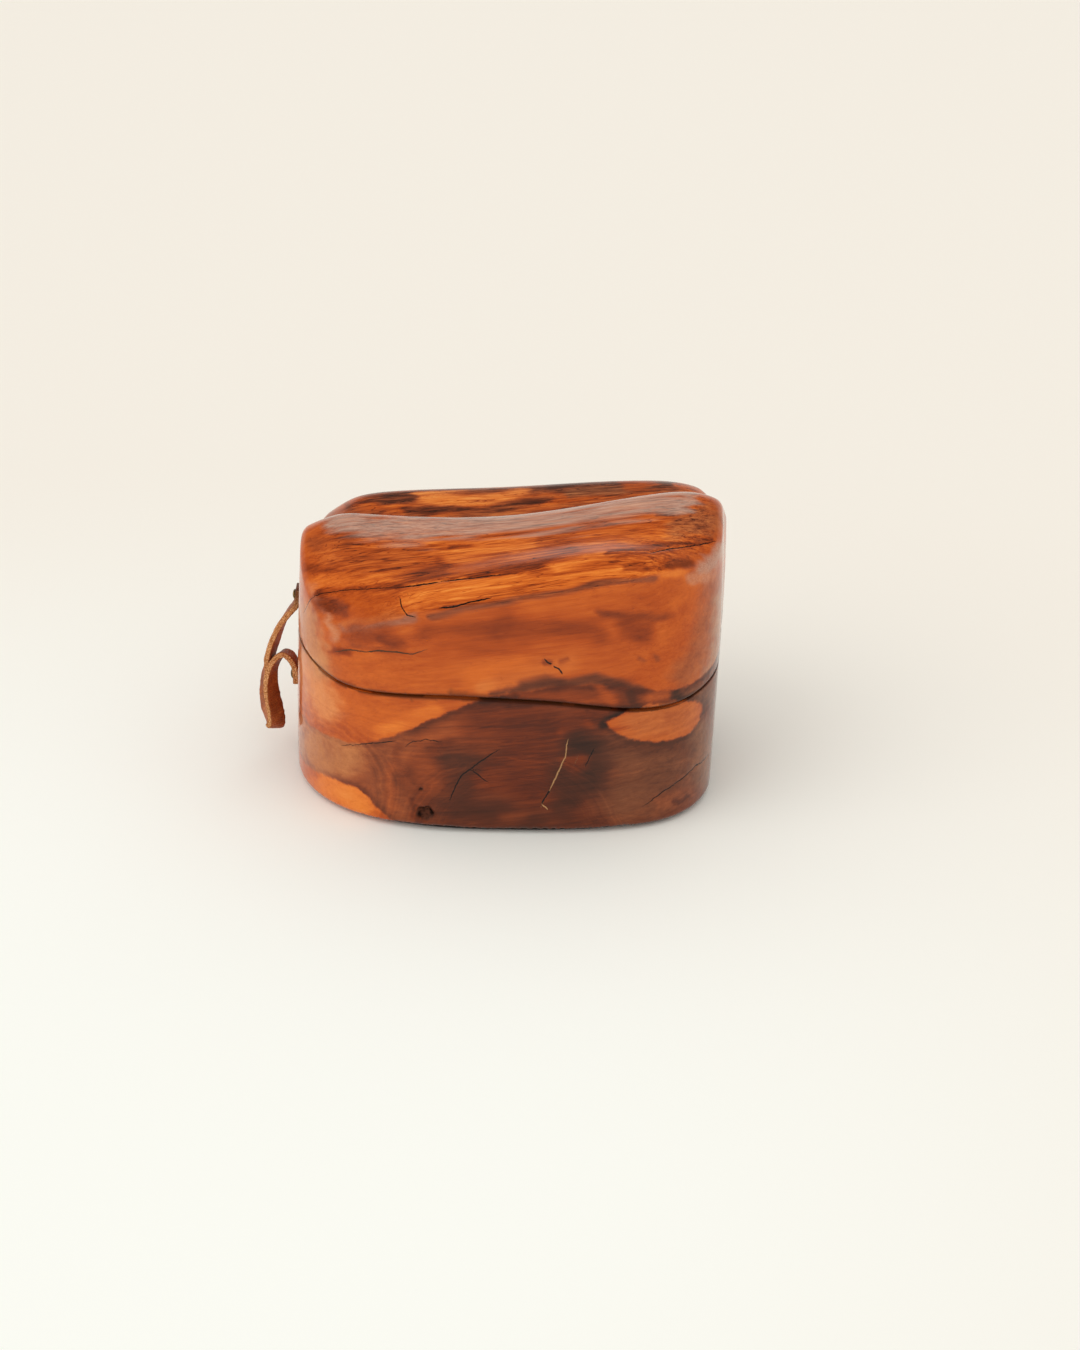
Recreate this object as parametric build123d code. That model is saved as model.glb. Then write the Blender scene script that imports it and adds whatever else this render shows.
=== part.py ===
from build123d import *
import math
import os

# Carved wooden jewel box in two halves, sawn from one block by a wavy cut.
# Millimetres, +Z up, front towards -Y. The origin is under the middle of the wood, where it stands.

# Whole box
box_width = 154.0
box_depth = 113.0
box_height = 108.0
top_round = 5.0
foot_chamfer = 1.3
overrun = 12.0
surface_tolerance = 0.05

# Hollows and saw cut
wall = 9.5
floor_thickness = 9.0
roof_height = 64.0
hollow_round = 4.0
saw_gap = 0.9
seat_gap = 0.3

# Felt under the foot and suede on the floor of the hollow
felt_thickness = 1.0
felt_inset = 3.0
suede_thickness = 1.6
suede_gap = 0.3

# Pegs that keep the lid in register
peg_radius = 2.5
peg_depth = 9.0
peg_proud = 5.0
peg_chamfer = 0.8
peg_clearance = 0.35
glue_gap = 0.05

# Leather thong and its tacks
thong_width = 6.6
thong_thickness = 2.1
tack_head_radius = 1.9
tack_head_height = 0.9
tack_head_chamfer = 0.5
tack_shank_radius = 0.6
tack_length = 7.0
tack_clearance = 0.25
tack_head_gap = 0.2
tack_from_end = 2.8

# Plan of the block at four heights, as shares of its height, half width and half depth
level_height_shares = (0.0, 0.46, 0.72, 1.12)
level_left_shares = (-0.99, -0.956, -0.928, -0.885)
level_right_shares = (0.955, 0.983, 0.99, 0.96)
level_front_shares = (-1.0, -0.99, -0.95, -0.88)
level_back_shares = (0.97, 1.0, 0.98, 0.92)
level_powers = (2.85, 3.05, 3.2, 3.2)
side_powers = (0.56, 0.2, -0.1, -0.1)
level_turns = (-1.7, -2.5, -2.5, -2.5)
outer_points = 20
inner_points = 20

# Top of the lid: stations along the width, then the height of each line of the carving there
station_shares = (-1.08, -0.76, -0.46, 0.0, 0.46, 0.80, 1.08)
line_shares = (-1.2, -0.92, -0.54, -0.34, -0.14, 0.21, 0.53, 0.70, 0.88, 1.2)
front_shares = (-0.04, 0.04, 0.57, 0.71, 0.775, 0.77, 0.68)
crease_shares = (0.20, 0.33, 0.72, 0.808, 0.858, 0.82, 0.72)
slope_shares = (0.67, 0.785, 0.832, 0.872, 0.918, 0.91, 0.76)
brow_shares = (0.75, 0.868, 0.882, 0.898, 0.945, 0.96, 0.82)
crest_shares = (0.80, 0.91, 0.908, 0.91, 0.96, 0.99, 0.84)
valley_shares = (0.66, 0.79, 0.785, 0.80, 0.835, 0.87, 0.75)
ridge_shares = (0.64, 0.80, 0.838, 0.850, 0.873, 0.875, 0.72)
brink_shares = (0.59, 0.765, 0.800, 0.815, 0.830, 0.820, 0.67)
shoulder_shares = (0.54, 0.70, 0.75, 0.77, 0.785, 0.78, 0.64)
back_shares = (0.50, 0.58, 0.61, 0.63, 0.64, 0.64, 0.58)

# Saw cut, as shares of the half width and of the height, and how open it stands at each place
cut_place_shares = (-1.2, -0.98, -0.88, -0.76, -0.56, -0.3, 0.0, 0.27, 0.5, 0.66, 0.8, 0.92, 1.2)
cut_height_shares = (
    0.60, 0.546, 0.515, 0.483, 0.4725, 0.479, 0.474, 0.461, 0.437, 0.4265, 0.433, 0.452, 0.515,
)
cut_open_shares = (0.0, 0.0, 0.0, 0.3, 0.6, 0.8, 0.9, 1.0, 1.0, 0.9, 0.4, 0.0, 0.0)

# Route of the thong from the lid's wall down to its fold and back up to the base's wall
thong_route = [
    (-74.25, 2.4, 66.6), (-74.45, 2.4, 61.3), (-77.6, 2.4, 57.6), (-81.2, 2.4, 52.6),
    (-83.5, 2.5, 46.8), (-85.7, 2.7, 40.4), (-87.5, 3.0, 33.0), (-88.2, 3.2, 24.6),
    (-88.1, 3.3, 17.0), (-87.8, 3.2, 11.5), (-84.7, 0.7, 11.3), (-84.5, 0.4, 16.8),
    (-85.8, 0.4, 24.0), (-86.2, 0.8, 31.0), (-84.8, 1.6, 36.8), (-81.3, 2.3, 41.0),
    (-78.0, 2.4, 39.0), (-76.6, 2.4, 34.8), (-76.8, 2.4, 29.6),
]
# Turn of the strip about the vertical at each of those points, then how far its back edge tips down
thong_turns = (0, 2, 6, 12, 18, 24, 30, 38, 44, 46, 46, 44, 32, 18, 12, 8, 4, 0, 0)
thong_tips = (0, 0, 4, 8, 12, 16, 20, 24, 24, 24, 24, 24, 20, 18, 18, 16, 10, 0, 0)
run_share = 0.45
arc_steps = 3

half_width = box_width / 2
half_depth = box_depth / 2
cavity_floor = felt_thickness + floor_thickness


def plan_points(index, height, inset, count):
    """Points round the block at one of its levels, drawn in by the inset."""
    left, right = level_left_shares[index] * half_width, level_right_shares[index] * half_width
    front, back = level_front_shares[index] * half_depth, level_back_shares[index] * half_depth
    reach_x = (right - left) / 2 - inset
    reach_y = (back - front) / 2 - inset
    middle = Vector((left + right) / 2, (front + back) / 2, 0)
    points = []
    for step in range(count):
        angle = 2 * math.pi * step / count
        power = level_powers[index] + side_powers[index] * math.cos(angle)
        across = abs(math.cos(angle) / reach_x) ** power
        along = abs(math.sin(angle) / reach_y) ** power
        reach = (across + along) ** (-1 / power)
        point = Vector(reach * math.cos(angle), reach * math.sin(angle), height)
        points.append(point.rotate(Axis.Z, level_turns[index]) + middle)
    return points


def outer_ring(index, height):
    """Closed plan curve of the outside, as one smooth spline."""
    points = plan_points(index, height, 0, outer_points)
    return Wire([Edge.make_spline(points, periodic=True)])


def inner_ring(index, height, inset):
    """Closed plan curve of a hollow or a liner, as short straight runs joined by arcs."""
    points = plan_points(index, height, inset, inner_points)
    radii = turn_radii(points[-1:] + points + points[:1])
    return Wire(FilletPolyline(*points, radius=radii, close=True).edges())


def turn_radii(points):
    """Radius of the arc at each inner point, as large as the two runs beside it allow."""
    radii = []
    for before, here, after in zip(points, points[1:], points[2:]):
        turn = math.radians((here - before).get_angle(after - here))
        shorter = min((here - before).length, (after - here).length)
        radii.append(run_share * shorter / math.tan(turn / 2))
    return radii


def under_carving():
    """All space under the lid's top: a front slope, a crest, a valley and a back ridge."""
    lines = (
        front_shares, crease_shares, slope_shares, brow_shares, crest_shares,
        valley_shares, ridge_shares, brink_shares, shoulder_shares, back_shares,
    )
    grid = [
        [
            Vector(place * half_width, share * half_depth, line[station] * box_height)
            for share, line in zip(line_shares, lines)
        ]
        for station, place in enumerate(station_shares)
    ]
    top = Face.make_surface_from_array_of_points(grid, tol=surface_tolerance)
    return Solid.extrude(top, Vector(0, 0, -box_height - overrun))


def carved_block():
    """The whole outside of the box in one piece, with its edges rounded."""
    wood_height = box_height - felt_thickness
    rings = [
        outer_ring(index, felt_thickness + share * wood_height)
        for index, share in enumerate(level_height_shares)
    ]
    block = Solid.make_loft(rings) & under_carving()
    top_edge = block.edges().sort_by(Axis.Z)[-1]
    block = block.fillet(top_round, [top_edge])
    foot_edge = block.edges().sort_by(Axis.Z)[0]
    block = block.chamfer(foot_chamfer, None, [foot_edge])
    middle = block.bounding_box().center()
    return block.moved(Location((-middle.X, -middle.Y, 0)))


def above_cut(opening):
    """The space above the saw cut, which runs straight through from front to back."""
    curve = [
        Vector(place * half_width, -box_depth, height * box_height + opening * share)
        for place, height, share in zip(cut_place_shares, cut_height_shares, cut_open_shares)
    ]
    if opening:
        curve = [point + Vector(0, 0, seat_gap) for point in curve]
    left_top = Vector(curve[0].X, -box_depth, box_height + overrun)
    right_top = Vector(curve[-1].X, -box_depth, box_height + overrun)
    face = Face(Wire([
        Edge.make_spline(curve),
        Edge.make_line(curve[-1], right_top),
        Edge.make_line(right_top, left_top),
        Edge.make_line(left_top, curve[0]),
    ]))
    return Solid.extrude(face, Vector(0, 2 * box_depth, 0))


def between(places, values, place):
    """Value at a place, read in a straight line between the two listed places beside it."""
    for low, high, start, end in zip(places, places[1:], values, values[1:]):
        if place <= high:
            return start + (place - low) / (high - low) * (end - start)
    return values[-1]


def rim_height(x):
    """Height of the saw cut at a place along the width."""
    return between(cut_place_shares, cut_height_shares, x / half_width) * box_height


def hollow(low, high, rounded_end):
    """Straight-walled hollow between two heights, rounded at the end that stays closed."""
    ring = inner_ring(1, low, wall)
    space = Solid.extrude(Face(ring), Vector(0, 0, high - low))
    ends = space.faces().sort_by(Axis.Z)
    closed_end = ends[0] if rounded_end == "floor" else ends[-1]
    return space.fillet(hollow_round, closed_end.edges())


def upright(radius, x, y, low, high):
    """Round bar standing on a height."""
    return Solid.make_cylinder(radius, high - low, Plane((x, y, low)))


def wall_place(block, y, z):
    """Where a line along the width first meets the left wall."""
    line = Axis((-box_width, y, z), (1, 0, 0))
    hits = [point for point, normal in block.find_intersection_points(line)]
    return min(hits, key=lambda point: point.X)


def make_thong():
    """Flat strip of leather that turns about the vertical along its route."""
    points = [Vector(*point) for point in thong_route]
    path = FilletPolyline(*points, radius=turn_radii(points))
    marks = [0.0]
    for a, b in zip(points, points[1:]):
        marks.append(marks[-1] + (b - a).length)
    sections = []
    travelled = 0.0
    length = sum(edge.length for edge in path.edges())
    for edge in path.edges():
        steps = arc_steps if edge.geom_type == GeomType.CIRCLE else 1
        first = 0 if not sections else 1
        for step in range(first, steps + 1):
            place = travelled + edge.length * step / steps
            along = min(place / length, 1.0) * marks[-1]
            turn, tip = between(marks, thong_turns, along), between(marks, thong_tips, along)
            sections.append(strip_section(edge @ (step / steps), edge % (step / steps), turn, tip))
        travelled += edge.length
    return Solid.make_loft(sections, ruled=True)


def strip_section(centre, tangent, turn, tip):
    """Cross-section of the strip, square to its run."""
    sideways = Vector(0, 1, 0).rotate(Axis.X, -tip).rotate(Axis.Z, -turn)
    sideways = (sideways - tangent * sideways.dot(tangent)).normalized()
    through = tangent.cross(sideways).normalized()
    width, depth = sideways * (thong_width / 2), through * (thong_thickness / 2)
    corners = [
        centre - width - depth, centre + width - depth,
        centre + width + depth, centre - width + depth,
    ]
    return Wire.make_polygon(corners, close=True)


def make_tack(block, y, z):
    """Round-headed tack through the thong into the left wall, with the hole it takes."""
    seat = wall_place(block, y, z).X
    head_back = seat - seat_gap - thong_thickness - tack_head_gap
    outward = Plane((head_back, y, z), z_dir=(-1, 0, 0))
    head = Solid.make_cylinder(tack_head_radius, tack_head_height, outward)
    head = head.chamfer(tack_head_chamfer, None, [head.edges().sort_by(Axis.X)[0]])
    inward = Plane((head_back, y, z), z_dir=(1, 0, 0))
    shank = Solid.make_cylinder(tack_shank_radius, tack_length, inward)
    wood_hole = Solid.make_cylinder(tack_shank_radius + glue_gap, tack_length + glue_gap, inward)
    leather_hole = Solid.make_cylinder(tack_shank_radius + tack_clearance, 2 * thong_thickness, inward)
    return head + shank, wood_hole, leather_hole


os.makedirs("parts", exist_ok=True)
block = carved_block()
base = block - above_cut(0.0) - hollow(cavity_floor, box_height, "floor")
lid = (block & above_cut(saw_gap - seat_gap)) - hollow(felt_thickness, roof_height, "roof")

peg_places = {
    "left_peg": level_left_shares[1] * half_width + wall / 2,
    "right_peg": level_right_shares[1] * half_width - wall / 2,
}
pieces = {}
for name, x in peg_places.items():
    foot, tip = rim_height(x) - peg_depth, rim_height(x) + peg_proud
    peg = upright(peg_radius, x, 0, foot, tip)
    pieces[name] = peg.chamfer(peg_chamfer, None, [peg.edges().sort_by(Axis.Z)[-1]])
    base = base - upright(peg_radius + glue_gap, x, 0, foot - glue_gap, tip)
    lid = lid - upright(peg_radius + peg_clearance, x, 0, foot, tip + 2 * peg_clearance)

thong = make_thong()
upper_tack, upper_hole, upper_slit = make_tack(block, thong_route[0][1], thong_route[0][2] - tack_from_end)
lower_tack, lower_hole, lower_slit = make_tack(block, thong_route[-1][1], thong_route[-1][2] + tack_from_end)
lid = lid - upper_hole
base = base - lower_hole
thong = thong - upper_slit - lower_slit

pieces["box_base"] = base
pieces["box_lid"] = lid
pieces["leather_thong"] = thong
pieces["upper_tack"] = upper_tack
pieces["lower_tack"] = lower_tack
pieces["foot_felt"] = Solid.extrude(Face(inner_ring(0, 0, felt_inset)), Vector(0, 0, felt_thickness))
suede_ring = inner_ring(1, cavity_floor, wall + hollow_round + suede_gap)
pieces["suede_lining"] = Solid.extrude(Face(suede_ring), Vector(0, 0, suede_thickness))

for name, piece in pieces.items():
    export_step(piece, "parts/" + name + ".step")
    box = piece.bounding_box()
    print(name, len(piece.solids()), round(piece.volume, 1), box)
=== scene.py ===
import math

import bmesh
import bpy
import numpy as np
from mathutils import Matrix, Vector, noise


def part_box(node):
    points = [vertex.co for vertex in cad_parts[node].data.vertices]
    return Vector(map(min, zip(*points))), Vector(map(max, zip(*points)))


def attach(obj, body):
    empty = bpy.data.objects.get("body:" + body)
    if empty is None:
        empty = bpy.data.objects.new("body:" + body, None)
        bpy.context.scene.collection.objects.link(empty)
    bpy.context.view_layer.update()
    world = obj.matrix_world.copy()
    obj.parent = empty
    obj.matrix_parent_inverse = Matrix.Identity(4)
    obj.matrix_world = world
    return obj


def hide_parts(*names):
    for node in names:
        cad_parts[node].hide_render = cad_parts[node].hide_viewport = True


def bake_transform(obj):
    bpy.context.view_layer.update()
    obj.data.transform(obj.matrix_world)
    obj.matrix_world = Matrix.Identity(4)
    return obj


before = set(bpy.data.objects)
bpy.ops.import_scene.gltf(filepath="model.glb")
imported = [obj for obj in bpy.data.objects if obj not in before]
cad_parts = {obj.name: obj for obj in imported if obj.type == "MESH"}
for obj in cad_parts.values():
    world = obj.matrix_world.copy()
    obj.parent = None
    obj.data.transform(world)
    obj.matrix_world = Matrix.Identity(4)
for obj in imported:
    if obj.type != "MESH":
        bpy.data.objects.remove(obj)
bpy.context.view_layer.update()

mm = 0.001
scene = bpy.context.scene
noise.seed_set(1796065035)  # left alone, the vector noise starts from the clock and differs between runs


def hexToLinear(code):
    # sRGB hex to the linear colour that the shader wants
    parts = [int(code[i:i + 2], 16) / 255 for i in (1, 3, 5)]
    return tuple(c / 12.92 if c <= 0.04045 else ((c + 0.055) / 1.055) ** 2.4 for c in parts) + (1.0,)


def addNode(tree, kind, inputs=None, **settings):
    # an input is a value, a hex colour, another node's first output, or one of its other outputs
    node = tree.nodes.new("ShaderNode" + kind)
    for name, value in settings.items():
        if name == "stops":
            ramp = node.color_ramp
            while len(ramp.elements) < len(value):
                ramp.elements.new(0.5)
            for element, (place, code) in zip(ramp.elements, value):
                element.position, element.color = place, hexToLinear(code)
        else:
            setattr(node, name, value)
    for key, value in (inputs or {}).items():
        if isinstance(value, bpy.types.Node):
            value = value.outputs[0]
        if isinstance(value, bpy.types.NodeSocket):
            tree.links.new(value, node.inputs[key])
        else:
            node.inputs[key].default_value = hexToLinear(value) if isinstance(value, str) else value
    return node


def newTree(block):
    block.use_nodes = True
    block.node_tree.nodes.clear()
    return block.node_tree


def paint(mesh, name, *columns):
    # one to three numbers per vertex, for the shader to read
    kind = "FLOAT" if len(columns) == 1 else "FLOAT_VECTOR"
    attribute = mesh.attributes.new(name, kind, "POINT")
    if kind == "FLOAT":
        attribute.data.foreach_set("value", np.asarray(columns[0], np.float32))
    else:
        attribute.data.foreach_set("vector", np.stack(columns, 1).astype(np.float32).ravel())


def meshFrom(bm, name):
    mesh = bpy.data.meshes.new(name)
    bm.to_mesh(mesh)
    bm.free()
    mesh.validate(clean_customdata=False)  # drops the odd facet that a cut left doubled
    mesh.polygons.foreach_set("use_smooth", [True] * len(mesh.polygons))
    piece = bpy.data.objects.new(name, mesh)
    scene.collection.objects.link(piece)
    return piece


def nodeCopy(node):
    # a CAD node's shape with its loose triangles merged
    bm = bmesh.new()
    bm.from_mesh(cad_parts[node].data)
    bmesh.ops.remove_doubles(bm, verts=bm.verts, dist=0.004 * mm)
    return bm


def cutFiner(bm, length, chosen=lambda point: True):
    # halve the long edges three times over, which brings the facets down to about the length asked for
    for _ in range(3):
        long = [e for e in bm.edges if e.calc_length() > length * mm and all(chosen(v.co) for v in e.verts)]
        bmesh.ops.subdivide_edges(bm, edges=long, cuts=1)
        bmesh.ops.triangulate(bm, faces=[f for f in bm.faces if len(f.verts) > 3])


# The camera stands where the photographer stood: what it looks at and how far off it is, in millimetres
camera = {"target": (11.08, -19.80, 42.9), "distance": 841, "elevation": 27, "lens": 64, "sensor": 36}
tilt = math.radians(camera["elevation"])
eyePlace = Vector(camera["target"]) + camera["distance"] * Vector((0, -math.cos(tilt), math.sin(tilt)))
lens = bpy.data.cameras.new("photoCamera")
lens.lens, lens.sensor_width, lens.sensor_fit = camera["lens"], camera["sensor"], "AUTO"
eye = bpy.data.objects.new("photoCamera", lens)
scene.collection.objects.link(eye)
eye.location = eyePlace * mm
eye.rotation_euler = (math.radians(90) - tilt, 0, 0)
scene.camera = eye
scene.view_settings.view_transform = "Standard"

# A pale studio: even light from all round and a little more from the left. Pale walls and a dim ceiling show in
# the varnish; the two lamps are too broad to show, so glossy rays skip them.
studio = {
    "keyStrength": 0.55, "keyFrom": (-0.70, -0.42, 0.72), "keySpread": 50,
    "fillStrength": 0.15, "fillFrom": (0.9, -0.6, 0.5), "fillSpread": 60,
    "roomLight": 0.89, "roomColour": "#FBF9F6", "wallColour": "#F5F0E6",
    "ceilingShare": 0.25, "ceilingFrom": 0.33, "ceilingFull": 0.55,  # its brightness, and where it sets in
    "floorSize": 6.0, "floorColour": "#F6F1E7", "floorLitPatch": "#FDFFF9",
    "litPatchCentre": (-0.12, -0.2, 0), "litPatchFull": 0.1, "litPatchEnd": 0.5,  # metres: the centre of the painted pool of light on the floor, where it starts to fade and where it has faded
}
for name in ("key", "fill"):
    lamp = bpy.data.lights.new(name + "Light", "SUN")
    lamp.energy = studio[name + "Strength"]
    lamp.angle = math.radians(studio[name + "Spread"])
    holder = bpy.data.objects.new(name + "Light", lamp)
    holder.rotation_euler = Vector(studio[name + "From"]).to_track_quat("Z", "Y").to_euler()
    holder.visible_glossy = False
    scene.collection.objects.link(holder)

scene.world = bpy.data.worlds.new("paleRoom")
tree = newTree(scene.world)
path = addNode(tree, "LightPath")
seen = path.outputs["Is Camera Ray"]
for ray in ("Is Glossy Ray", "Is Transmission Ray"):
    seen = addNode(tree, "Math", {0: seen, 1: path.outputs[ray]}, operation="MAXIMUM")
skyward = addNode(tree, "SeparateXYZ", {0: addNode(tree, "TexCoord").outputs["Generated"]}).outputs[2]
dimming = addNode(tree, "MapRange", {"Value": skyward, "From Min": studio["ceilingFrom"],
                                     "From Max": studio["ceilingFull"], "To Min": 1.0,
                                     "To Max": studio["ceilingShare"]})
room = addNode(tree, "Background", {"Color": studio["roomColour"], "Strength": studio["roomLight"]})
walls = addNode(tree, "Background", {"Color": studio["wallColour"], "Strength": dimming})
addNode(tree, "OutputWorld", {0: addNode(tree, "MixShader", {0: seen, 1: room, 2: walls})})

# Matt painted board, a little warm, with a painted pool of light that makes it nearly white under the box
bm = bmesh.new()
bmesh.ops.create_grid(bm, x_segments=1, y_segments=1, size=studio["floorSize"])
floor = meshFrom(bm, "floor")
material = bpy.data.materials.new("paintedBoard")
tree = newTree(material)
spread = addNode(tree, "VectorMath", {0: addNode(tree, "TexCoord").outputs["Object"], 1: studio["litPatchCentre"]},
                 operation="DISTANCE").outputs["Value"]
spread = addNode(tree, "MapRange", {"Value": spread, "From Min": studio["litPatchFull"], "From Max": studio["litPatchEnd"]},
                 interpolation_type="SMOOTHSTEP")
shade = addNode(tree, "Mix", {0: spread, 6: studio["floorLitPatch"], 7: studio["floorColour"]}, data_type="RGBA")
board = addNode(tree, "BsdfPrincipled", {"Base Color": shade.outputs[2], "Roughness": 0.8,
                                         "Specular IOR Level": 0.1})
addNode(tree, "OutputMaterial", {0: board})
floor.data.materials.append(material)
print("camera and studio are up")
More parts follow.
